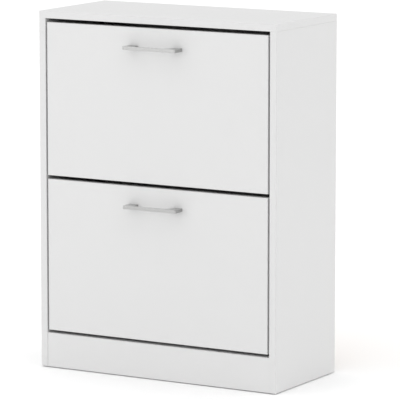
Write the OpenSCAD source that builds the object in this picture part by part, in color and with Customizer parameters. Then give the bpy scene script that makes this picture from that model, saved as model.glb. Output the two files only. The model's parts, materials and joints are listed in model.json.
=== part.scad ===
// Two-flap tilting shoe cabinet: a flat-packed board carcass that holds two tip-out shoe flaps.
// Millimetres. +Z is up, +Y runs back towards the wall, and the front faces -Y.
// The origin is on the floor, at the centre of the whole footprint with the handles counted in.

/* [Carcass] */
// Overall width of the cabinet
body_w = 600; // [480:10:900]
// Height of the boards, without the glides
body_h = 800; // [760:10:840]
// Depth of the cabinet, without the handles
body_d = 272; // [266:2:300]
// Thickness of the coated particleboard
board_t = 16; // [16:1:18]
// Height of a floor glide under the boards
glide_h = 2; // [1:0.5:5]
// Height of the plinth board
plinth_h = 77.5; // [74:0.5:90]
// Set-back of the plinth from the front edges of the sides
plinth_recess = 1; // [0:0.5:3]
// Thickness of the fibreboard back panel
back_t = 3; // [2.5:0.5:4]
// Distance from the rear edges of the sides to the back panel
back_inset = 10; // [6:1:12]
// Width of the cross rail behind the joint of the two flaps
rail_w = 80; // [60:5:80]
// Thickness of the glued edge bands
band_t = 0.8; // [0.4:0.2:1]

/* [Flaps] */
// Gap between a flap and each side
side_gap = 4.5; // [2.5:0.5:5]
// Gap between the plinth and the lower flap
low_gap = 7; // [6:0.5:8]
// Gap between the two flaps, and between the upper flap and the top
flap_gap = 8.5; // [7:0.5:9]
// Distance of the pivot behind the front face of a flap
pivot_back = 21; // [20.5:0.5:21.5]
// Height of the pivot above the bottom edge of a flap
pivot_up = 42; // [40:1:46]
// Angle to which a flap tips out
open_angle = 55; // [45:1:58]

/* [Racks] */
// Radius of the rounded edge of a rack wing about its pivot
wing_r = 290; // [280:1:292]
// Thickness of the rack panels that the shoes lie on
rack_t = 4; // [3:0.5:4]
// Lean of the rack panels from upright when the flap is shut
rack_lean = 15; // [12:1:16]
// Length of the front shoe panel
front_rack_l = 270; // [220:5:280]
// Length of the rear shoe panel
rear_rack_l = 225; // [180:5:235]

/* [Handles] */
// Distance between the two handle screws
handle_pitch = 112; // [96:16:128]
// Width of a handle foot
handle_foot_w = 22; // [16:1:24]
// Distance from the flap to the front of the handle
handle_reach = 30; // [26:1:34]
// Height of the handle bar
handle_h = 7.5; // [7:0.5:10]
// Front-to-back thickness of the handle bar
handle_bar_t = 6; // [5:0.5:8]
// Radius where a handle foot sweeps into the bar
handle_sweep = 16; // [10:1:18]
// Distance from the top edge of a flap down to the handle
handle_drop = 43; // [30:1:60]

/* [Hidden] */
$fn = 48;

BOARD_WHITE = [0.93, 0.93, 0.93];
PLASTIC_GREY = [0.72, 0.73, 0.74];
GRAPHITE = [0.2, 0.2, 0.21];
SATIN_METAL = [0.66, 0.66, 0.65];
ZINC = [0.75, 0.75, 0.76];
BEECH = [0.83, 0.68, 0.47];

eps = 0.01;               // overlap that keeps a cut clear of the face that it starts from
fit = 0.05;               // radial clearance of a pin, dowel or screw in its hole

// Frame of the carcass
front_y = (handle_reach - body_d) / 2;
back_y = front_y + body_d;
base_z = glide_h;
top_z = glide_h + body_h;
side_x = body_w / 2 - board_t;            // inner face of a side
under_top_z = top_z - board_t;
plinth_top_z = base_z + plinth_h;
back_face_y = back_y - back_inset - back_t;
groove_d = 6;
groove_w = back_t + 0.2;

// Flaps
door_w = 2 * (side_x - side_gap);
door_h = (under_top_z - plinth_top_z - low_gap - 2 * flap_gap) / 2;
lower_door_z = plinth_top_z + low_gap;
upper_door_z = lower_door_z + door_h + flap_gap;
pivot_y = front_y + pivot_back;
lower_pivot_z = lower_door_z + pivot_up;
upper_pivot_z = upper_door_z + pivot_up;

// The rail fills the corner behind the sweep of the lower flap
rail_z = upper_door_z - flap_gap - board_t;
rail_y = back_face_y - rail_w;

// Rack wing, drawn in (u, v): u back from the pivot, v up from it
wing_x = door_w / 2 - 1;                  // outer face of a wing
wing_t = 3;
rim_h = 8;
rim_t = 2.5;
u_door = board_t - pivot_back;            // rear face of the flap
v_low = -34;
u_back = 228;
u_heel = 140;                             // where the sloping rear edge leaves the bottom edge
v_heel = 66;                              // where it meets the upright rear edge
heel_angle = atan2(v_heel - v_low, u_back - u_heel);
flange_t = 3;
flange_w = 18;
pin_r = 4;
pin_l = 14;
boss_r = 9;

// Arc groove in each wing, and the pin that runs in it
stop_r = 200;                             // radius of the arc about the pivot
stop_phi = 10;                            // angle of the pin back from upright
stop_pin_r = 3;
stop_gap = 0.5;
groove_r = stop_pin_r + stop_gap;
stop_groove_d = 3.5;
stop_floor_t = 2;

// Rack panels
front_foot = [38, -26];
rear_foot = [124, -20];
rack_x = wing_x - wing_t - 3.5;           // end of a rack panel
channel_t = 2.5;
channel_h = 14;
front_toe_l = 34;
toe_gap = 0.2;
rack_step = rear_foot - front_foot;
rack_pitch = rack_step[0] * cos(rack_lean) - rack_step[1] * sin(rack_lean);
rear_toe_l = rack_pitch - rack_t - 2 * toe_gap;

// Hardware
cam_r = 7.3;
cam_d = 12;
cam_reach = 24;                           // from the joint to the centre of the cam
cam_bolt_r = 3.5;
cam_bolt_head_t = 3;
thread_r = 2.5;
thread_l = 11;
dowel_r = 4;
dowel_l = 30;
cap_t = 1;
bush_r = 7;
bush_d = 12;
bush_flange_r = 11;
bush_flange_t = 1.2;
screw_r = 2;
screw_head_r = 4;
screw_head_t = 2.4;
screw_slot_d = 1.4;
bracket_screw_l = 14;
handle_screw_grip = 9;                    // how far a handle screw runs into the handle
handle_hole_r = 2.5;
nail_r = 0.8;
nail_head_r = 1.8;
nail_head_t = 0.8;
nail_l = 20;
end_room = 0.5;                           // free depth past the end of a pin, screw or nail
glide_r = 7;
glide_nail_r = 1.2;
glide_nail_l = 12;
bracket_w = 24;
bracket_leg = 26;
bracket_t = 2;
bracket_x = 200;
bracket_hole_r = 2.75;

wing_screw_v = [12, 125, 245];
wing_screw_x = wing_x - 10;
wing_screw_l = 14;

// ---- Joint fittings -------------------------------------------------------------------------
// A fitting is drawn at the joint plane. Local +X runs into the board that holds the cam, -X into
// the board that holds the bolt thread, and the cam opens towards local -Z.

// Places of the cam fittings: [position, rotation]
bottom_z = plinth_top_z - board_t / 2;
rail_mid_z = rail_z + board_t / 2;
plinth_y = front_y + plinth_recess + board_t / 2;
top_cam_y = [front_y + 50, back_y - 50];
bottom_cam_y = [front_y + 60, back_y - 52];
rail_cam_y = rail_y + 24;
rail_dowel_y = rail_y + 56;
plinth_cam_z = base_z + 28;
plinth_dowel_z = base_z + 58;
side_mid_x = body_w / 2 - board_t / 2;

CAMS = [
    for (y = bottom_cam_y) each [[[-side_x, y, bottom_z], [0, 0, 0]], [[side_x, y, bottom_z], [0, 0, 180]]],
    [[-side_x, rail_cam_y, rail_mid_z], [0, 0, 0]],
    [[side_x, rail_cam_y, rail_mid_z], [0, 0, 180]],
    [[-side_x, plinth_y, plinth_cam_z], [90, 0, 0]],
    [[side_x, plinth_y, plinth_cam_z], [-90, 0, 180]]
];
TOP_CAMS = [
    for (y = top_cam_y) each [
        [[side_mid_x, y, under_top_z], [0, 90, 0]],
        [[-side_mid_x, y, under_top_z], [0, 90, 180]]
    ]
];
ALL_CAMS = concat(CAMS, TOP_CAMS);

dowel_step = 32;
DOWELS = [
    for (s = [-1, 1]) each [
        [[s * side_x, bottom_cam_y[0] + dowel_step, bottom_z], [0, 0, 0]],
        [[s * side_x, bottom_cam_y[1] - dowel_step, bottom_z], [0, 0, 0]],
        [[s * side_x, rail_dowel_y, rail_mid_z], [0, 0, 0]],
        [[s * side_x, plinth_y, plinth_dowel_z], [0, 0, 0]],
        [[s * side_mid_x, top_cam_y[0] + dowel_step, under_top_z], [0, 90, 0]],
        [[s * side_mid_x, top_cam_y[1] - dowel_step, under_top_z], [0, 90, 0]]
    ]
];

module at(places) {
    for (p = places) translate(p[0]) rotate(p[1]) children();
}

module rod(r, l) {
    rotate([0, 90, 0]) cylinder(r = r, h = l);
}

module cam_lock() {
    translate([cam_reach, 0, -board_t / 2 + cap_t]) difference() {
        cylinder(r = cam_r, h = cam_d - cap_t);
        translate([-cam_r - 1, 0, board_t / 2 - cap_t]) rod(cam_bolt_r + 0.4, cam_r + 5);
        for (a = [0, 90]) rotate([0, 0, a]) translate([-3, -0.7, -eps]) cube([6, 1.4, 2.4]);
    }
}

module cover_cap() {
    translate([cam_reach, 0, -board_t / 2 - 0.6]) union() {
        cylinder(r = cam_r + 1.2, h = 0.6);
        cylinder(r = cam_r - 0.2, h = 0.6 + cap_t - 0.2);
    }
}

module cam_bolt() {
    translate([-thread_l, 0, 0]) rod(thread_r, thread_l + eps);
    rod(cam_bolt_r - 0.5, cam_reach - 2);
    translate([cam_reach - 2 - eps, 0, 0]) rod(cam_bolt_r, cam_bolt_head_t);
}

module cam_board_bores() {
    translate([cam_reach, 0, -board_t / 2 - eps]) cylinder(r = cam_r + 0.1, h = cam_d + eps + 0.2);
    translate([-eps, 0, 0]) rod(cam_bolt_r + 0.2, cam_reach);
}

module bolt_board_bores() {
    translate([-thread_l - end_room, 0, 0]) rod(thread_r + fit, thread_l + end_room + eps);
}

module dowel() {
    translate([-dowel_l / 2, 0, 0]) rod(dowel_r, dowel_l);
}

module dowel_bores() {
    translate([-dowel_l / 2 - end_room, 0, 0]) rod(dowel_r + fit, dowel_l + 2 * end_room);
}

module joint_bores() {
    at(ALL_CAMS) {
        cam_board_bores();
        bolt_board_bores();
    }
    at(DOWELS) dowel_bores();
}

// ---- Carcass --------------------------------------------------------------------------------

module board(low, high) {
    translate(low) cube(high - low);
}

// The groove that holds the back panel, as one cut through the sides and the top
module back_groove() {
    board([-side_x - groove_d, back_face_y - 0.1, base_z - 1],
          [side_x + groove_d, back_face_y - 0.1 + groove_w, under_top_z + groove_d]);
}

module flap_hardware_bores(pivot_z) {
    translate([side_x - eps, pivot_y, pivot_z]) rod(bush_r + fit, bush_d + end_room + eps);
    at_stop_pin(pivot_z) translate([-eps, 0, 0]) rod(thread_r + fit, thread_l + end_room);
}

module at_stop_pin(pivot_z) {
    translate([side_x, pivot_y + stop_r * sin(stop_phi), pivot_z + stop_r * cos(stop_phi)]) children();
}

module glide_places() {
    for (y = [front_y + 28, back_y - 28]) translate([side_mid_x, y, 0]) children();
}

module right_side() {
    difference() {
        board([side_x, front_y + band_t, base_z], [body_w / 2, back_y, under_top_z]);
        back_groove();
        joint_bores();
        for (z = [lower_pivot_z, upper_pivot_z]) flap_hardware_bores(z);
        glide_places() cylinder(r = glide_nail_r + fit, h = base_z + glide_nail_l + end_room);
    }
}

module right_side_panel() {
    color(BOARD_WHITE) right_side();
}

module left_side_panel() {
    color(BOARD_WHITE) mirror([1, 0, 0]) right_side();
}

module top_panel() {
    color(BOARD_WHITE) difference() {
        board([-body_w / 2 + band_t, front_y + band_t, under_top_z], [body_w / 2 - band_t, back_y, top_z]);
        back_groove();
        joint_bores();
        for (s = [-1, 1]) translate([s * bracket_x, back_face_y - bracket_leg / 2 - 4, under_top_z - eps])
            cylinder(r = screw_r + fit, h = bracket_screw_l - bracket_t + end_room);
    }
}

module bottom_panel() {
    color(BOARD_WHITE) difference() {
        board([-side_x, front_y + plinth_recess + board_t, plinth_top_z - board_t],
              [side_x, back_face_y - 0.1, plinth_top_z]);
        joint_bores();
        nail_places([plinth_top_z - board_t / 2]) nail_bore();
    }
}

module plinth_board() {
    color(BOARD_WHITE) difference() {
        board([-side_x, front_y + plinth_recess, base_z],
              [side_x, front_y + plinth_recess + board_t, plinth_top_z - band_t]);
        joint_bores();
    }
}

module middle_rail() {
    color(BOARD_WHITE) difference() {
        board([-side_x, rail_y + band_t, rail_z], [side_x, back_face_y - 0.1, rail_z + board_t]);
        joint_bores();
        nail_places([rail_mid_z]) nail_bore();
    }
}

module back_panel() {
    color(BOARD_WHITE) difference() {
        board([-side_x - groove_d + 0.5, back_face_y, plinth_top_z - board_t],
              [side_x + groove_d - 0.5, back_face_y + back_t, under_top_z + groove_d - 0.5]);
        nail_places([plinth_top_z - board_t / 2, rail_mid_z]) nail_bore();
        for (s = [-1, 1]) translate([s * bracket_x, back_face_y - 1, under_top_z - bracket_leg + 8])
            rotate([-90, 0, 0]) cylinder(r = bracket_hole_r + 1, h = back_t + 2);
    }
}

module side_edge_bands() {
    color(BOARD_WHITE) for (x = [-body_w / 2, side_x])
        board([x, front_y, base_z], [x + board_t, front_y + band_t, under_top_z]);
}

module top_edge_bands() {
    color(BOARD_WHITE) {
        board([-body_w / 2, front_y, under_top_z], [body_w / 2, front_y + band_t, top_z]);
        for (x = [-body_w / 2, body_w / 2 - band_t])
            board([x, front_y + band_t, under_top_z], [x + band_t, back_y, top_z]);
    }
}

module plinth_edge_band() {
    color(BOARD_WHITE) board([-side_x, front_y + plinth_recess, plinth_top_z - band_t],
                             [side_x, front_y + plinth_recess + board_t, plinth_top_z]);
}

module rail_edge_band() {
    color(BOARD_WHITE) board([-side_x, rail_y, rail_z], [side_x, rail_y + band_t, rail_z + board_t]);
}

module cam_locks() {
    color(ZINC) at(ALL_CAMS) cam_lock();
}

module cam_bolts() {
    color(ZINC) at(ALL_CAMS) cam_bolt();
}

module wood_dowels() {
    color(BEECH) at(DOWELS) dowel();
}

module cam_cover_caps() {
    color(BOARD_WHITE) at(concat(TOP_CAMS, CAMS)) cover_cap();
}

// Nails through the back panel, at five places along each height given
module nail_places(heights) {
    for (z = heights, i = [-2:2]) translate([i * side_x * 0.44, back_face_y + back_t, z]) children();
}

module nail() {
    rotate([90, 0, 0]) union() {
        cylinder(r = nail_r, h = nail_l);
        translate([0, 0, -nail_head_t]) cylinder(r = nail_head_r, h = nail_head_t);
    }
}

module nail_bore() {
    translate([0, eps, 0]) rotate([90, 0, 0]) cylinder(r = nail_r + fit, h = nail_l + end_room);
}

module back_panel_nails() {
    color(ZINC) nail_places([plinth_top_z - board_t / 2, rail_mid_z]) nail();
}

module glide() {
    cylinder(r1 = glide_r - 0.8, r2 = glide_r, h = glide_h * 0.6);
    translate([0, 0, glide_h * 0.6]) cylinder(r = glide_r, h = glide_h * 0.4);
    translate([0, 0, glide_h - eps]) cylinder(r = glide_nail_r, h = glide_nail_l);
}

module floor_glides() {
    color(PLASTIC_GREY) for (s = [0, 1]) mirror([s, 0, 0]) glide_places() glide();
}

// Angle bracket under the top, with its upright leg against the back panel
module wall_bracket() {
    difference() {
        union() {
            board([-bracket_w / 2, -bracket_leg, -bracket_t], [bracket_w / 2, 0, 0]);
            board([-bracket_w / 2, -bracket_t, -bracket_leg], [bracket_w / 2, 0, 0]);
        }
        translate([0, -bracket_leg / 2 - 4, -bracket_t - 1]) cylinder(r = screw_r + 0.2, h = bracket_t + 2);
        translate([0, -bracket_t - 1, -bracket_leg + 8]) rotate([-90, 0, 0])
            cylinder(r = bracket_hole_r, h = bracket_t + 2);
    }
}

module at_brackets() {
    for (s = [-1, 1]) translate([s * bracket_x, back_face_y, under_top_z]) children();
}

module wall_brackets() {
    color(ZINC) at_brackets() wall_bracket();
}

module wall_bracket_screws() {
    color(ZINC) at_brackets() translate([0, -bracket_leg / 2 - 4, -bracket_t]) screw(bracket_screw_l);
}

// A pan-head screw that points up, with its head below the origin
module screw(l) {
    difference() {
        union() {
            translate([0, 0, -screw_head_t])
                cylinder(r1 = screw_head_r - 1, r2 = screw_head_r, h = screw_head_t);
            translate([0, 0, -eps]) cylinder(r = screw_r, h = l);
        }
        for (a = [0, 90]) rotate([0, 0, a]) translate([-2, -0.5, -screw_head_t - eps])
            cube([4, 1, screw_slot_d]);
    }
}

// Flanged bush that sits in the side and holds the pivot pin of a wing
module pivot_bushes(pivot_z) {
    color(PLASTIC_GREY) for (s = [0, 1]) mirror([s, 0, 0]) translate([side_x, pivot_y, pivot_z])
        difference() {
            union() {
                rod(bush_r, bush_d);
                translate([-bush_flange_t, 0, 0]) rod(bush_flange_r, bush_flange_t);
            }
            translate([-bush_flange_t - 1, 0, 0]) rod(pin_r + fit, bush_flange_t + 1 + bush_d - 1.5);
        }
}

module stop_pins(pivot_z) {
    reach = side_x - wing_x + stop_groove_d - 0.7;
    color(PLASTIC_GREY) for (s = [0, 1]) mirror([s, 0, 0]) at_stop_pin(pivot_z) {
        rod(thread_r, thread_l);
        translate([-reach, 0, 0]) rod(stop_pin_r, reach);
        translate([-1, 0, 0]) rod(stop_pin_r + 2, 1);
    }
}

// ---- Flap -----------------------------------------------------------------------------------

// Places drawn in (u, v, w) about the pivot: u back, v up, w along +X
module about_pivot(pivot_z) {
    translate([0, pivot_y, pivot_z]) rotate([90, 0, 90]) children();
}

module door_core(door_z) {
    board([-door_w / 2 + band_t, front_y, door_z + band_t],
          [door_w / 2 - band_t, front_y + board_t, door_z + door_h - band_t]);
}

module door_panel(door_z) {
    color(BOARD_WHITE) difference() {
        door_core(door_z);
        at_handle(door_z) for (x = [-1, 1] * handle_pitch / 2) translate([x, -1, 0]) rotate([-90, 0, 0])
            cylinder(r = handle_hole_r, h = board_t + 2);
        at_wing_screws(door_z + pivot_up) translate([0, 0, flange_t - eps])
            cylinder(r = screw_r + fit, h = wing_screw_l - flange_t + end_room);
    }
}

module door_edge_bands(door_z) {
    color(BOARD_WHITE) difference() {
        board([-door_w / 2, front_y, door_z], [door_w / 2, front_y + board_t, door_z + door_h]);
        translate([0, -1, 0]) door_core(door_z);
        door_core(door_z);
        translate([0, 1, 0]) door_core(door_z);
    }
}

module at_handle(door_z) {
    translate([0, front_y, door_z + door_h - handle_drop]) children();
}

// Bridge handle: a flat bar on two broad feet that sweep into it, with small rounds at its ends
module handle(door_z) {
    half = (handle_pitch + handle_foot_w) / 2;
    inner = (handle_pitch - handle_foot_w) / 2;
    depth = handle_reach - handle_bar_t;
    r_in = handle_sweep;
    r_out = 3;
    color(SATIN_METAL) at_handle(door_z) difference() {
        translate([0, 0, -handle_h / 2]) difference() {
            union() {
                translate([-half, -handle_reach + r_out, 0]) cube([2 * half, handle_reach - r_out, handle_h]);
                translate([-half + r_out, -handle_reach, 0]) cube([2 * (half - r_out), r_out + 1, handle_h]);
                for (x = [-1, 1] * (half - r_out)) translate([x, -handle_reach + r_out, 0])
                    cylinder(r = r_out, h = handle_h);
            }
            translate([-inner, -depth + r_in, -1]) cube([2 * inner, depth - r_in + 1, handle_h + 2]);
            translate([-inner + r_in, -depth, -1]) cube([2 * (inner - r_in), r_in + 1, handle_h + 2]);
            for (x = [-1, 1] * (inner - r_in)) translate([x, -depth + r_in, -1])
                cylinder(r = r_in, h = handle_h + 2);
        }
        for (x = [-1, 1] * handle_pitch / 2) translate([x, -handle_screw_grip - end_room, 0])
            rotate([-90, 0, 0]) cylinder(r = screw_r + fit, h = handle_screw_grip + end_room + 1);
    }
}

module handle_screws(door_z) {
    color(ZINC) at_handle(door_z) for (x = [-1, 1] * handle_pitch / 2)
        translate([x, board_t, 0]) rotate([90, 0, 0]) screw(board_t + handle_screw_grip);
}

module at_wing_screws(pivot_z) {
    for (v = wing_screw_v, s = [-1, 1])
        translate([s * wing_screw_x, pivot_y + u_door + flange_t, pivot_z + v]) rotate([90, 0, 0]) children();
}

module wing_screws(pivot_z) {
    color(ZINC) at_wing_screws(pivot_z) screw(wing_screw_l);
}

// Outline of a wing in (u, v), drawn in by i on every side
module wing_outline(i) {
    intersection() {
        circle(r = wing_r - i);
        polygon([
            [u_door + i, v_low + i],
            [u_heel - i * tan(heel_angle / 2), v_low + i],
            [u_back - i, v_heel + i * tan((90 - heel_angle) / 2)],
            [u_back - i, wing_r],
            [u_door + i, wing_r]
        ]);
    }
}

// A rack panel seen from the side: it starts at its foot and runs l along its length
module rack_strip(foot, turn, l, t) {
    translate(foot) rotate(turn) translate([0, -t / 2]) square([l, t]);
}

rack_turn = 90 - rack_lean;
toe_turn = 180 - rack_lean;
along_toe = [-cos(rack_lean), sin(rack_lean)];
along_rack = [sin(rack_lean), cos(rack_lean)];
toe_start = along_toe * (rack_t / 2 + toe_gap) + along_rack * rack_t / 2;
front_toe_foot = front_foot + toe_start;
rear_toe_foot = rear_foot + toe_start;

// The four rack panels: [foot, turn, length]
FRONT_RACK = [front_foot, rack_turn, front_rack_l];
REAR_RACK = [rear_foot, rack_turn, rear_rack_l];
FRONT_TOE = [front_toe_foot, toe_turn, front_toe_l];
REAR_TOE = [rear_toe_foot, toe_turn, rear_toe_l];
RACKS = [FRONT_RACK, REAR_RACK, FRONT_TOE, REAR_TOE];

// A slab of the (u, v) drawing between two distances from the middle of the cabinet
module slab(from, to) {
    translate([0, 0, from]) linear_extrude(to - from) children();
}

// Arc of half-width r about the pivot, as long as the stop pin's travel plus r at each end
module stop_arc(r, from, to) {
    end = atan(r / stop_r);
    translate([0, 0, from]) rotate([0, 0, 90 - stop_phi - open_angle - end])
        rotate_extrude(angle = open_angle + 2 * end) translate([stop_r - r, 0]) square([2 * r, to - from]);
}

module wing_body() {
    inner = wing_x - wing_t;
    difference() {
        union() {
            slab(inner, wing_x) wing_outline(0);
            difference() {
                slab(inner - rim_h, inner + 1) wing_outline(0);
                slab(inner - rim_h - 1, inner + 2) wing_outline(rim_t);
            }
            intersection() {
                for (p = RACKS) slab(wing_x - channel_h, inner + 1)
                    rack_strip(p[0], p[1], p[2], rack_t + 2 * channel_t);
                slab(wing_x - channel_h - 1, inner + 2) wing_outline(0.5);
            }
            translate([u_door, v_low + 2, wing_x - flange_w])
                cube([flange_t, wing_screw_v[2] + 20 - v_low, flange_w - 1]);
            stop_arc(groove_r + 3, wing_x - stop_groove_d - stop_floor_t, inner + 1);
            translate([0, 0, inner - 4]) intersection() {
                cylinder(r = boss_r, h = 5);
                translate([u_door + 1, -boss_r, 0]) cube([2 * boss_r, 2 * boss_r, 5]);
            }
        }
        for (p = RACKS) slab(wing_x - channel_h - 1, rack_x + 0.5)
            rack_strip(p[0], p[1], p[2] + 0.5, rack_t + 0.3);
        stop_arc(groove_r, wing_x - stop_groove_d, wing_x + 1);
        for (v = wing_screw_v) translate([u_door - 1, v, wing_screw_x]) rotate([0, 90, 0])
            cylinder(r = screw_r + 0.3, h = flange_t + 2);
    }
    translate([0, 0, inner]) cylinder(r = pin_r, h = wing_t + pin_l);
}

module right_wing(pivot_z) {
    color(GRAPHITE) about_pivot(pivot_z) wing_body();
}

module left_wing(pivot_z) {
    color(GRAPHITE) mirror([1, 0, 0]) about_pivot(pivot_z) wing_body();
}

module rack(pivot_z, p) {
    color(GRAPHITE) about_pivot(pivot_z) slab(-rack_x, rack_x) rack_strip(p[0], p[1], p[2], rack_t);
}

// ---- Nodes ----------------------------------------------------------------------------------

left_side_panel();
right_side_panel();
top_panel();
bottom_panel();
plinth_board();
middle_rail();
back_panel();
side_edge_bands();
top_edge_bands();
plinth_edge_band();
rail_edge_band();
cam_locks();
cam_bolts();
wood_dowels();
cam_cover_caps();
back_panel_nails();
floor_glides();
wall_brackets();
wall_bracket_screws();
pivot_bushes(upper_pivot_z);  // upper_pivot_bushes
pivot_bushes(lower_pivot_z);  // lower_pivot_bushes
stop_pins(upper_pivot_z);  // upper_stop_pins
stop_pins(lower_pivot_z);  // lower_stop_pins
door_panel(upper_door_z);  // upper_door_panel
door_edge_bands(upper_door_z);  // upper_door_edge_bands
handle(upper_door_z);  // upper_handle
handle_screws(upper_door_z);  // upper_handle_screws
left_wing(upper_pivot_z);  // upper_left_wing
right_wing(upper_pivot_z);  // upper_right_wing
wing_screws(upper_pivot_z);  // upper_wing_screws
rack(upper_pivot_z, FRONT_RACK);  // upper_front_rack
rack(upper_pivot_z, FRONT_TOE);  // upper_front_toe_rest
rack(upper_pivot_z, REAR_RACK);  // upper_rear_rack
rack(upper_pivot_z, REAR_TOE);  // upper_rear_toe_rest
door_panel(lower_door_z);  // lower_door_panel
door_edge_bands(lower_door_z);  // lower_door_edge_bands
handle(lower_door_z);  // lower_handle
handle_screws(lower_door_z);  // lower_handle_screws
left_wing(lower_pivot_z);  // lower_left_wing
right_wing(lower_pivot_z);  // lower_right_wing
wing_screws(lower_pivot_z);  // lower_wing_screws
rack(lower_pivot_z, FRONT_RACK);  // lower_front_rack
rack(lower_pivot_z, FRONT_TOE);  // lower_front_toe_rest
rack(lower_pivot_z, REAR_RACK);  // lower_rear_rack
rack(lower_pivot_z, REAR_TOE);  // lower_rear_toe_rest
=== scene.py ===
"""Looks of a white shoe cabinet with two tip-out flaps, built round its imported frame.

Metres, with +Z up and the front towards -Y.
"""
import json
import math

import bmesh
import bpy
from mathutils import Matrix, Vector

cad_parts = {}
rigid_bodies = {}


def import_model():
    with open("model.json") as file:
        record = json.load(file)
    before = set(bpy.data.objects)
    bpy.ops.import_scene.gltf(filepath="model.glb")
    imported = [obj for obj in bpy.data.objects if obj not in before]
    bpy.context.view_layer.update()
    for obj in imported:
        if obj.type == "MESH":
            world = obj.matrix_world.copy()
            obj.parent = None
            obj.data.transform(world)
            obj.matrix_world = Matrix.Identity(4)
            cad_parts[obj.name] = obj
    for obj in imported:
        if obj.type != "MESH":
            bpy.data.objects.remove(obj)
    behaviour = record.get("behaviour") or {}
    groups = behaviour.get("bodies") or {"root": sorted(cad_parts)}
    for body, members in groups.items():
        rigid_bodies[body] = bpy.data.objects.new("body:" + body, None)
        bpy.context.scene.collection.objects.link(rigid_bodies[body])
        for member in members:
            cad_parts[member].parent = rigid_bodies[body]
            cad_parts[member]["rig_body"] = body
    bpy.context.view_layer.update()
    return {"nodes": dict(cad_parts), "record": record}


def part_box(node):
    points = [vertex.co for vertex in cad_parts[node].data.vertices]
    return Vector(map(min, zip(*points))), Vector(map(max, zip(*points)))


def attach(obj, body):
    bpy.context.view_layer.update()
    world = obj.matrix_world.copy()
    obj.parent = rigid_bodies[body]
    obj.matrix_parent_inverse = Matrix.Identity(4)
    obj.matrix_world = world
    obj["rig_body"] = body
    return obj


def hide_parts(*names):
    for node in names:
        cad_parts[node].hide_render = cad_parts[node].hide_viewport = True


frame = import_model()
NODES = frame["nodes"]
MM = 0.001

# Camera, as the photograph is taken: from the right, a little above, with a long lens
AIM = Vector((0.0254, 0.0267, 0.3840))
AZIMUTH = 30.30
ELEVATION = 8.90
DISTANCE = 7.390
LENS_MM = 299.9
SENSOR_MM = 36.0
CLIP_RANGE = (0.1, 200.0)

# Light: how bright the studio is from each side, and one large soft box at the front left
SKY_TOP = 1.467
SKY_LEFT = 0.934
SKY_RIGHT = 1.164
SKY_FRONT = 0.70
SKY_BACK = 0.65
FLOOR_REACH = 60.0
KEY_PLACE = (-3.2, -5.6, 1.9)
KEY_TARGET = (0.0, 0.0, 0.45)
KEY_SIZE = (3.0, 2.4)
KEY_POWER = 54.9

# Mesh work: how close counts as the same place, which edges count as flat, smooth or sharp, and the
# weight that lets only the largest face at a corner set its shading
SAME_PLACE = 1e-6
SAME_SIDE = 2e-5
FLAT_DEGREES = 0.5
SMOOTH_DEGREES = 30.0
SHARP_DEGREES = 40.0
LARGEST_FACE_ONLY = 100

# Colours, as linear light
WHITE = (0.670, 0.670, 0.669)
WHITE_LACQUER = (0.68, 0.68, 0.675)
RUBBED_BOARD = (0.70, 0.69, 0.67)
RUBBED_BAND = (0.66, 0.65, 0.63)
GRAPHITE = (0.040, 0.041, 0.044)
GRAPHITE_FOIL = (0.050, 0.051, 0.054)
RUBBED_FOIL = (0.22, 0.18, 0.14)
GREY = (0.42, 0.43, 0.44)
NICKEL = (0.445, 0.445, 0.441)
NICKEL_EDGE = (0.78, 0.78, 0.77)
BLUE_ZINC = (0.63, 0.65, 0.69)
YELLOW_ZINC = (0.72, 0.71, 0.66)
BEECH_DARK = (0.60, 0.41, 0.23)
BEECH_LIGHT = (0.76, 0.58, 0.38)
BEECH_FLECK = (0.42, 0.27, 0.14)
FIBRE_DARK = (0.33, 0.20, 0.11)
FIBRE_LIGHT = (0.47, 0.31, 0.18)
FIBRE_SPECK = (0.20, 0.12, 0.07)
FLOOR_DARK = (0.945, 0.945, 0.945)
FLOOR_LIGHT = (0.96, 0.96, 0.96)


def shade(colour, factor):
    """The colour made lighter or darker by a factor."""
    return tuple(channel * factor for channel in colour)


# ---- Nodes of a material ----------------------------------------------------------------------

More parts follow.
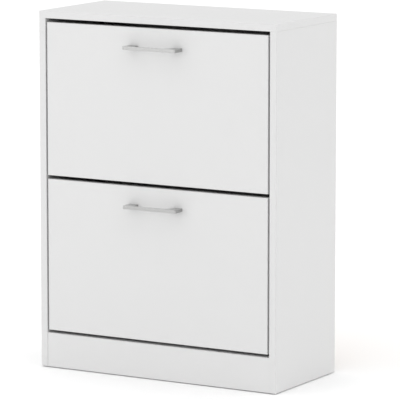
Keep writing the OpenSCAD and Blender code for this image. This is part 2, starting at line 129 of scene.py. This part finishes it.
class Look:
    """A Principled material, with short calls for the procedural nodes that feed it."""

    def __init__(self, name, **sockets):
        self.material = bpy.data.materials.new(name)
        self.material.use_nodes = True
        self.tree = self.material.node_tree
        self.shader = self.tree.nodes["Principled BSDF"]
        for socket, value in sockets.items():
            self.shader.inputs[socket.replace("_", " ")].default_value = value
        self.place = self.add("ShaderNodeTexCoord").outputs["Object"]

    def add(self, kind, **values):
        """A new shader node of a kind, with its properties set."""
        node = self.tree.nodes.new(kind)
        for key, value in values.items():
            setattr(node, key, value)
        return node

    def link(self, output, target):
        """Feeds a socket with another node's output."""
        self.tree.links.new(output, target)

    def stretched(self, scale):
        """The place on the object, scaled by its own factor along each axis."""
        mapping = self.add("ShaderNodeMapping")
        mapping.inputs["Scale"].default_value = scale
        self.link(self.place, mapping.inputs["Vector"])
        return mapping.outputs["Vector"]

    def noise(self, scale, detail=2.0, roughness=0.5, place=None):
        """Cloudy noise round 0.5; most of it lies between 0.3 and 0.7."""
        node = self.add("ShaderNodeTexNoise")
        node.inputs["Scale"].default_value = scale
        node.inputs["Detail"].default_value = detail
        node.inputs["Roughness"].default_value = roughness
        self.link(place or self.place, node.inputs["Vector"])
        return node.outputs["Fac"]

    def cells(self, scale):
        """Distance to the middle of the nearest of many small cells."""
        node = self.add("ShaderNodeTexVoronoi")
        node.inputs["Scale"].default_value = scale
        self.link(self.place, node.inputs["Vector"])
        return node.outputs["Distance"]

    def remap(self, value, low, high, from_low=0.3, from_high=0.7):
        """The value stretched from its own range, by default that of noise, to low and high."""
        node = self.add("ShaderNodeMapRange")
        node.inputs["From Min"].default_value = from_low
        node.inputs["From Max"].default_value = from_high
        node.inputs["To Min"].default_value = low
        node.inputs["To Max"].default_value = high
        self.link(value, node.inputs["Value"])
        return node.outputs["Result"]

    def mix(self, share, one, other):
        """One colour where the share is 0 and the other where it is 1."""
        node = self.add("ShaderNodeMix", data_type="RGBA")
        colour_a, colour_b, result = node.inputs[6], node.inputs[7], node.outputs[2]
        self.link(share, node.inputs["Factor"])
        for socket, value in ((colour_a, one), (colour_b, other)):
            if isinstance(value, tuple):
                socket.default_value = (*value, 1.0)
            else:
                self.link(value, socket)
        return result

    def bump(self, height, depth, under=None):
        """A normal from a height of the given depth, on top of the normal under it."""
        node = self.add("ShaderNodeBump")
        node.inputs["Distance"].default_value = depth
        self.link(height, node.inputs["Height"])
        if under:
            self.link(under, node.inputs["Normal"])
        return node.outputs["Normal"]

    def edges(self, radius, most):
        """A share for worn edges: most on the edge itself, falling to 0 at about radius from it."""
        rounded = self.add("ShaderNodeBevel", samples=4)
        rounded.inputs["Radius"].default_value = radius
        flat = self.add("ShaderNodeNewGeometry").outputs["Normal"]
        turned = self.add("ShaderNodeVectorMath", operation="DOT_PRODUCT")
        self.link(rounded.outputs["Normal"], turned.inputs[0])
        self.link(flat, turned.inputs[1])
        on_edge = self.remap(turned.outputs["Value"], 1.0, 0.0, 0.75, 0.98)
        return self.remap(on_edge, 0.0, most, 0.0, 1.0)

    def use(self, socket, value):
        """Feeds a socket of the Principled shader."""
        self.link(value, self.shader.inputs[socket])


def melamine(name, white):
    """White coated board: a faint cloudiness, a fine pearl texture and slightly rubbed edges."""
    look = Look(name, IOR=1.5)
    cloud = look.remap(look.noise(9.0, 3.0), 0.0, 1.0)
    coat = look.mix(cloud, shade(white, 0.996), shade(white, 1.003))
    look.use("Base Color", look.mix(look.edges(0.0012, 0.10), coat, RUBBED_BOARD))
    look.use("Roughness", look.remap(look.noise(160.0, 3.0), 0.37, 0.47))
    pearl = look.noise(1100.0, 2.0)
    look.use("Normal", look.bump(pearl, 0.00002, look.bump(look.noise(60.0), 0.00003)))
    return look.material


def edge_band(name, white):
    """Plastic edging: smoother than the board, with faint lines along it from the trimming cutter."""
    look = Look(name, IOR=1.47)
    plastic = look.mix(look.noise(30.0), white, shade(white, 0.985))
    look.use("Base Color", look.mix(look.edges(0.0008, 0.12), plastic, RUBBED_BAND))
    look.use("Roughness", look.remap(look.noise(300.0), 0.30, 0.42))
    look.use("Normal", look.bump(look.noise(1.0, place=look.stretched((1500.0, 1500.0, 60.0))), 0.00001))
    return look.material


def moulded(name, colour, roughness):
    """Moulded plastic with a fine spark-eroded grain, slightly uneven in shade and paler on its edges."""
    look = Look(name, IOR=1.46)
    tint = look.mix(look.noise(25.0), colour, shade(colour, 0.96))
    look.use("Base Color", look.mix(look.edges(0.0006, 0.15), tint, shade(colour, 1.15)))
    look.use("Roughness", look.remap(look.noise(500.0), roughness - 0.08, roughness + 0.08))
    look.use("Normal", look.bump(look.cells(2200.0), 0.00003))
    return look.material


def satin_metal(name, colour, roughness):
    """Matt nickel: fine brush lines along X and brighter edges."""
    look = Look(name, Metallic=1.0)
    lines = look.noise(1.0, 4.0, place=look.stretched((40.0, 2600.0, 2600.0)))
    tint = look.mix(look.remap(lines, 0.0, 1.0), shade(colour, 0.94), colour)
    look.use("Base Color", look.mix(look.edges(0.0008, 0.35), tint, NICKEL_EDGE))
    look.use("Roughness", look.remap(lines, roughness - 0.06, roughness + 0.08))
    look.use("Normal", look.bump(lines, 0.000008))
    return look.material


def zinc(name):
    """Bright zinc plate: a faint blue and yellow cast in patches, and fine spangle."""
    look = Look(name, Metallic=1.0)
    look.use("Base Color", look.mix(look.remap(look.noise(120.0, 3.0), 0.0, 1.0), BLUE_ZINC, YELLOW_ZINC))
    look.use("Roughness", look.remap(look.cells(900.0), 0.22, 0.40, 0.0, 0.6))
    look.use("Normal", look.bump(look.noise(1500.0), 0.00001))
    return look.material


def beech(name):
    """Bare beech: straight grain with short dark flecks."""
    look = Look(name)
    grain = look.noise(1.0, 4.0, place=look.stretched((40.0, 700.0, 700.0)))
    rays = look.noise(1.0, 1.0, place=look.stretched((150.0, 2500.0, 2500.0)))
    wood = look.mix(look.remap(grain, 0.0, 1.0), BEECH_DARK, BEECH_LIGHT)
    look.use("Base Color", look.mix(look.remap(rays, 0.0, 1.0, 0.62, 0.7), wood, BEECH_FLECK))
    look.use("Roughness", look.remap(grain, 0.55, 0.75))
    look.use("Normal", look.bump(grain, 0.00005))
    return look.material


def hardboard(name, white):
    """Back panel: white lacquer towards the inside and bare brown fibreboard towards the wall."""
    look = Look(name)
    fibre = look.noise(420.0, 6.0, 0.7)
    speck = look.remap(look.noise(900.0, 2.0), 0.0, 1.0, 0.60, 0.68)
    raw = look.mix(look.remap(fibre, 0.0, 1.0), FIBRE_DARK, FIBRE_LIGHT)
    raw = look.mix(speck, raw, FIBRE_SPECK)
    lacquer = look.mix(look.noise(14.0), white, shade(white, 0.985))
    facing = look.add("ShaderNodeSeparateXYZ")
    look.link(look.add("ShaderNodeTexCoord").outputs["Normal"], facing.inputs[0])
    behind = look.remap(facing.outputs["Y"], 0.0, 1.0, 0.4, 0.6)
    look.use("Base Color", look.mix(behind, lacquer, raw))
    look.use("Roughness", look.remap(behind, 0.42, 0.78, 0.0, 1.0))
    look.use("Normal", look.bump(fibre, 0.00006))
    return look.material


def coated_hardboard(name, colour):
    """Foil coated hardboard: a printed fibre figure along X, fine pores and browner rubbed edges."""
    look = Look(name, IOR=1.48)
    figure = look.noise(1.0, 5.0, 0.62, place=look.stretched((18.0, 420.0, 420.0)))
    coat = look.mix(look.remap(figure, 0.0, 1.0), shade(colour, 0.78), shade(colour, 1.3))
    look.use("Base Color", look.mix(look.edges(0.0012, 0.30), coat, RUBBED_FOIL))
    look.use("Roughness", look.remap(look.noise(240.0, 3.0), 0.36, 0.50))
    look.use("Normal", look.bump(figure, 0.00003, look.bump(look.noise(900.0), 0.00002)))
    return look.material


def floor_paint(name):
    """Pale studio floor, nearly without gloss."""
    look = Look(name, Specular_IOR_Level=0.1)
    look.use("Base Color", look.mix(look.noise(0.8, 3.0), FLOOR_DARK, FLOOR_LIGHT))
    look.use("Roughness", look.remap(look.noise(18.0), 0.75, 0.85))
    return look.material


LOOKS = {
    "white_board": melamine("white_board", WHITE),
    "edge_band": edge_band("edge_band", WHITE),
    "back_board": hardboard("back_board", WHITE_LACQUER),
    "rack_board": coated_hardboard("rack_board", GRAPHITE_FOIL),
    "rack_plastic": moulded("rack_plastic", GRAPHITE, 0.46),
    "white_plastic": moulded("white_plastic", WHITE_LACQUER, 0.45),
    "grey_plastic": moulded("grey_plastic", GREY, 0.45),
    "satin_metal": satin_metal("satin_metal", NICKEL, 0.24),
    "zinc_plate": zinc("zinc_plate"),
    "beech": beech("beech"),
}
SLOT_OF = {part["node"]: part["material_slot"] for part in frame["record"]["subparts"]}


def paint_nodes():
    """Gives every CAD node the look of its material slot."""
    for name, node in NODES.items():
        node.data.materials.clear()
        node.data.materials.append(LOOKS[SLOT_OF[name]])


# ---- Pieces of the cabinet --------------------------------------------------------------------

def new_piece(name, work):
    """A scene object from a bmesh, which is freed.

    Where some edges have a bevel weight, the sharp ones without a weight are shaded as sharp.
    """
    bmesh.ops.recalc_face_normals(work, faces=work.faces)
    weight = work.edges.layers.float.get("bevel_weight_edge")
    if weight:
        for edge in work.edges:
            edge.smooth = edge[weight] > 0.0 or edge.calc_face_angle(0.0) < math.radians(SMOOTH_DEGREES)
    mesh = bpy.data.meshes.new(name)
    work.to_mesh(mesh)
    work.free()
    for polygon in mesh.polygons:
        polygon.use_smooth = True
    piece = bpy.data.objects.new(name, mesh)
    bpy.context.scene.collection.objects.link(piece)
    return piece


def stand_for(piece, node):
    """The piece shows in place of the CAD node, on its body and with its look."""
    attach(piece, NODES[node]["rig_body"])
    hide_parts(node)
    piece.data.materials.append(LOOKS[SLOT_OF[node]])


def add_bevel(piece, width, limit, segments):
    """Rounds edges by angle or by weight, and keeps the shading of the flat faces flat."""
    bevel = piece.modifiers.new("round", "BEVEL")
    bevel.limit_method = limit
    bevel.angle_limit = math.radians(SHARP_DEGREES)
    bevel.width = width
    bevel.segments = segments
    flatten = piece.modifiers.new("flat faces", "WEIGHTED_NORMAL")
    flatten.weight = LARGEST_FACE_ONLY
    flatten.keep_sharp = True


def islands(work):
    """The vertices of each separate solid in a bmesh."""
    left = set(work.verts)
    while left:
        start = left.pop()
        found, border = {start}, [start]
        while border:
            for edge in border.pop().link_edges:
                for vert in edge.verts:
                    if vert not in found:
                        found.add(vert)
                        border.append(vert)
        left -= found
        yield found


def mark_box_edges(work):
    """Gives a bevel weight of 1 to the sharp edges that lie on two sides of their own solid's box."""
    weight = work.edges.layers.float.new("bevel_weight_edge")
    for verts in list(islands(work)):
        low = [min(v.co[i] for v in verts) for i in range(3)]
        high = [max(v.co[i] for v in verts) for i in range(3)]
        for edge in {e for v in verts for e in v.link_edges}:
            sides = sum(all(abs(v.co[i] - side[i]) < SAME_SIDE for v in edge.verts)
                        for side in (low, high) for i in range(3))
            if sides >= 2:
                edge[weight] = 1.0


def rounded(node, radius, segments, box_edges=False):
    """A copy of a CAD node with its sharp edges rounded, or only the outer ones of each of its solids."""
    work = bmesh.new()
    work.from_mesh(NODES[node].data)
    bmesh.ops.remove_doubles(work, verts=work.verts, dist=SAME_PLACE)
    bmesh.ops.dissolve_limit(work, angle_limit=math.radians(FLAT_DEGREES), verts=work.verts, edges=work.edges)
    if box_edges:
        mark_box_edges(work)
    piece = new_piece(node + ".rounded", work)
    add_bevel(piece, radius, "WEIGHT" if box_edges else "ANGLE", segments)
    stand_for(piece, node)


def arc(centre, radius, start, end, steps=14):
    """Points on an arc, in degrees, both ends included."""
    turns = [math.radians(start + (end - start) * i / steps) for i in range(steps + 1)]
    return [(centre[0] + radius * math.cos(t), centre[1] + radius * math.sin(t)) for t in turns]


# Handle: as the CAD one, with soft edges
FOOT_W = 22 * MM
BAR_T = 6 * MM
SWEEP_R = 16 * MM
END_R = 3 * MM
HANDLE_EDGE_R = 0.45 * MM


def handle(node):
    """Bow handle: one outline with swept feet, extruded over its height and rounded all along."""
    low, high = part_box(node)
    half, front, back = high[0], low[1], high[1]
    inner = half - FOOT_W
    outline = [(-half, back)]
    outline += arc((-half + END_R, front + END_R), END_R, 180, 270)
    outline += arc((half - END_R, front + END_R), END_R, 270, 360)
    outline += [(half, back), (inner, back)]
    outline += arc((inner - SWEEP_R, front + BAR_T + SWEEP_R), SWEEP_R, 0, -90)
    outline += arc((-inner + SWEEP_R, front + BAR_T + SWEEP_R), SWEEP_R, -90, -180)
    outline += [(-inner, back)]
    work = bmesh.new()
    face = work.faces.new([work.verts.new((x, y, low[2])) for x, y in outline])
    extruded = bmesh.ops.extrude_face_region(work, geom=[face])["geom"]
    top = [item for item in extruded if isinstance(item, bmesh.types.BMVert)]
    bmesh.ops.translate(work, vec=(0, 0, high[2] - low[2]), verts=top)
    weight = work.edges.layers.float.new("bevel_weight_edge")
    for edge in work.edges:
        a, b = edge.verts
        if abs(a.co.z - b.co.z) < SAME_PLACE and min(a.co.y, b.co.y) < back - SAME_PLACE:
            edge[weight] = 1.0
    piece = new_piece(node + ".bow", work)
    add_bevel(piece, HANDLE_EDGE_R, "WEIGHT", 4)
    stand_for(piece, node)


# Wings, in metres about their pivots as in the CAD: u runs back from the pivot and v up. The heel is
# the sloping edge at the lower rear, from u on the bottom edge to v on the rear edge
PIVOTS = {joint["child"]: Vector(joint["pos_m"]) for joint in frame["record"]["behaviour"]["joints"]}
FLANGE_W = 18 * MM
WING_T = 3 * MM
FLANGE_U = 3 * MM
RIM_T = 2 * MM
HEEL_U = 140 * MM
HEEL_V = 66 * MM
BOSS_R = 8 * MM

# Ribs moulded on the inner face of each wing. Their feet sink into it, and they keep off the heel
HEEL_MARGIN = 0.03
RIB_H = 1.5 * MM
RIB_SINK = 0.3 * MM
RIB_FOOT_W = 1.8 * MM
RIB_TOP_W = 1.0 * MM
RIB_STEP = 2 * MM
SPOKE_TURNS = (8, 28, 48, 68, 86)
RING_RADII = (70 * MM, 140 * MM, 250 * MM)
RING_TURNS = range(-60, 91)


def polar(radius, degrees):
    """The (u, v) point at a distance from the pivot and an angle up from the level."""
    return (radius * math.cos(math.radians(degrees)), radius * math.sin(math.radians(degrees)))


def add_rib(work, line, place):
    """A tapered rib along (u, v) points; place turns u, v and a height above the wing into a point."""
    section = ((-RIB_FOOT_W / 2, -RIB_SINK), (-RIB_TOP_W / 2, RIB_H),
               (RIB_TOP_W / 2, RIB_H), (RIB_FOOT_W / 2, -RIB_SINK))
    sections = []
    for i, (u, v) in enumerate(line):
        before, after = line[max(i - 1, 0)], line[min(i + 1, len(line) - 1)]
        along = Vector((after[0] - before[0], after[1] - before[1])).normalized()
        sections.append([work.verts.new(place(u - along.y * side, v + along.x * side, height))
                         for side, height in section])
    for one, other in zip(sections, sections[1:]):
        for i in range(len(section)):
            j = (i + 1) % len(section)
            work.faces.new((one[i], one[j], other[j], other[i]))
    work.faces.new(sections[0])
    work.faces.new(sections[-1][::-1])


def wing_ribs(flap, side):
    """Spokes from the pivot boss and rings about the pivot, on the inner face of a wing."""
    node = flap + "_" + side + "_wing"
    low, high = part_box(node)
    pivot = PIVOTS[flap + "_flap"]
    sign = 1 if side == "right" else -1
    inner_x = min(abs(low[0]), abs(high[0])) + FLANGE_W - WING_T
    u_back, v_low, outer_r = high[1] - pivot.y, low[2] - pivot.z, high[2] - pivot.z

    def place(u, v, height):
        """A point at a height above the wing's inner face."""
        return (sign * (inner_x - height), pivot.y + u, pivot.z + v)

    def inside(point):
        """Whether a rib can pass here: behind the flange and within the rim."""
        u, v = point
        past_heel = (u - HEEL_U) / (u_back - HEEL_U) - (v - v_low) / (HEEL_V - v_low)
        return (FLANGE_U < u < u_back - RIM_T and v > v_low + RIM_T
                and past_heel < -HEEL_MARGIN and math.hypot(u, v) < outer_r - RIM_T)

    steps = range(int((outer_r - BOSS_R) / RIB_STEP))
    spokes = [[polar(BOSS_R + i * RIB_STEP, turn) for i in steps] for turn in SPOKE_TURNS]
    rings = [[polar(radius, turn) for turn in RING_TURNS] for radius in RING_RADII]
    work = bmesh.new()
    for line in spokes + rings:
        add_rib(work, [point for point in line if inside(point)], place)
    piece = new_piece(node + ".ribs", work)
    for polygon in piece.data.polygons:
        polygon.use_smooth = False
    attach(piece, NODES[node]["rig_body"])
    piece.data.materials.append(LOOKS[SLOT_OF[node]])


# How far the edges of each kind of piece are rounded
BOARD_EDGE_R = 0.25 * MM
BAND_EDGE_R = 0.5 * MM
DOOR_EDGE_R = 0.15 * MM
DOOR_BAND_EDGE_R = 0.4 * MM
WING_EDGE_R = 0.35 * MM
RACK_EDGE_R = 0.7 * MM
CAP_EDGE_R = 0.25 * MM
FITTING_EDGE_R = 0.3 * MM


def build_flap(flap):
    """The pieces of one flap, and the bushes and stop pins in the sides that it turns on."""
    rounded(flap + "_door_panel", DOOR_EDGE_R, 1, box_edges=True)
    rounded(flap + "_door_edge_bands", DOOR_BAND_EDGE_R, 3, box_edges=True)
    handle(flap + "_handle")
    for side in ("left", "right"):
        rounded(flap + "_" + side + "_wing", WING_EDGE_R, 2)
        wing_ribs(flap, side)
    for rack in ("front_rack", "front_toe_rest", "rear_rack", "rear_toe_rest"):
        rounded(flap + "_" + rack, RACK_EDGE_R, 3)
    for fitting in ("pivot_bushes", "stop_pins"):
        rounded(flap + "_" + fitting, FITTING_EDGE_R, 2)


def build_carcass():
    """The boards with their edge bands, and the fittings that show."""
    for board in ("left_side_panel", "right_side_panel", "top_panel", "bottom_panel", "plinth_board",
                  "middle_rail"):
        rounded(board, BOARD_EDGE_R, 1, box_edges=True)
    for band in ("side_edge_bands", "top_edge_bands", "plinth_edge_band", "rail_edge_band"):
        rounded(band, BAND_EDGE_R, 3, box_edges=True)
    rounded("cam_cover_caps", CAP_EDGE_R, 2)
    for fitting in ("floor_glides", "wall_brackets"):
        rounded(fitting, FITTING_EDGE_R, 2)


# ---- Stage ------------------------------------------------------------------------------------

def make_floor():
    """A plain floor that reaches past everything the camera sees."""
    mesh = bpy.data.meshes.new("floor")
    r = FLOOR_REACH
    mesh.from_pydata([(-r, -r, 0), (r, -r, 0), (r, r, 0), (-r, r, 0)], [], [(0, 1, 2, 3)])
    floor = bpy.data.objects.new("floor", mesh)
    bpy.context.scene.collection.objects.link(floor)
    mesh.materials.append(floor_paint("floor_paint"))


def make_sky():
    """Studio light from all round: the sides' strengths, mixed by the squares of a ray's direction."""
    world = bpy.data.worlds.new("studio")
    bpy.context.scene.world = world
    world.use_nodes = True
    tree = world.node_tree

    def math_node(operation, *values):
        """A math node fed by numbers and by other nodes' outputs."""
        node = tree.nodes.new("ShaderNodeMath")
        node.operation = operation
        for socket, value in zip(node.inputs, values):
            if isinstance(value, float):
                socket.default_value = value
            else:
                tree.links.new(value, socket)
        return node.outputs[0]

    direction = tree.nodes.new("ShaderNodeSeparateXYZ")
    tree.links.new(tree.nodes.new("ShaderNodeTexCoord").outputs["Generated"], direction.inputs[0])
    total = 0.0
    for axis, sign, strength in (("Z", 1.0, SKY_TOP), ("X", -1.0, SKY_LEFT), ("X", 1.0, SKY_RIGHT),
                                 ("Y", -1.0, SKY_FRONT), ("Y", 1.0, SKY_BACK)):
        towards = math_node("MAXIMUM", math_node("MULTIPLY", direction.outputs[axis], sign), 0.0)
        total = math_node("MULTIPLY_ADD", math_node("MULTIPLY", towards, towards), strength, total)
    background = tree.nodes["Background"]
    background.inputs["Color"].default_value = (1.0, 1.0, 1.0, 1.0)
    tree.links.new(total, background.inputs["Strength"])


def soft_box(name, place, target, size, power):
    """A rectangular area light that faces its target."""
    light = bpy.data.lights.new(name, "AREA")
    light.shape = "RECTANGLE"
    light.size, light.size_y = size
    light.energy = power
    lamp = bpy.data.objects.new(name, light)
    bpy.context.scene.collection.objects.link(lamp)
    lamp.location = place
    lamp.rotation_euler = (Vector(target) - Vector(place)).to_track_quat("-Z", "Y").to_euler()


def make_camera():
    """The photograph's camera, turned about the point that it aims at."""
    data = bpy.data.cameras.new("camera")
    data.sensor_width = SENSOR_MM
    data.lens = LENS_MM
    data.clip_start, data.clip_end = CLIP_RANGE
    camera = bpy.data.objects.new("camera", data)
    bpy.context.scene.collection.objects.link(camera)
    turn, rise = math.radians(AZIMUTH), math.radians(ELEVATION)
    back = Vector((math.sin(turn) * math.cos(rise), -math.cos(turn) * math.cos(rise), math.sin(rise)))
    camera.location = AIM + back * DISTANCE
    camera.rotation_euler = (-back).to_track_quat("-Z", "Y").to_euler()
    bpy.context.scene.camera = camera


for flap in ("upper", "lower"):
    build_flap(flap)
build_carcass()
paint_nodes()

make_camera()
make_sky()
soft_box("key", KEY_PLACE, KEY_TARGET, KEY_SIZE, KEY_POWER)
make_floor()

view_settings = bpy.context.scene.view_settings
view_settings.view_transform = "Standard"
view_settings.look = "None"
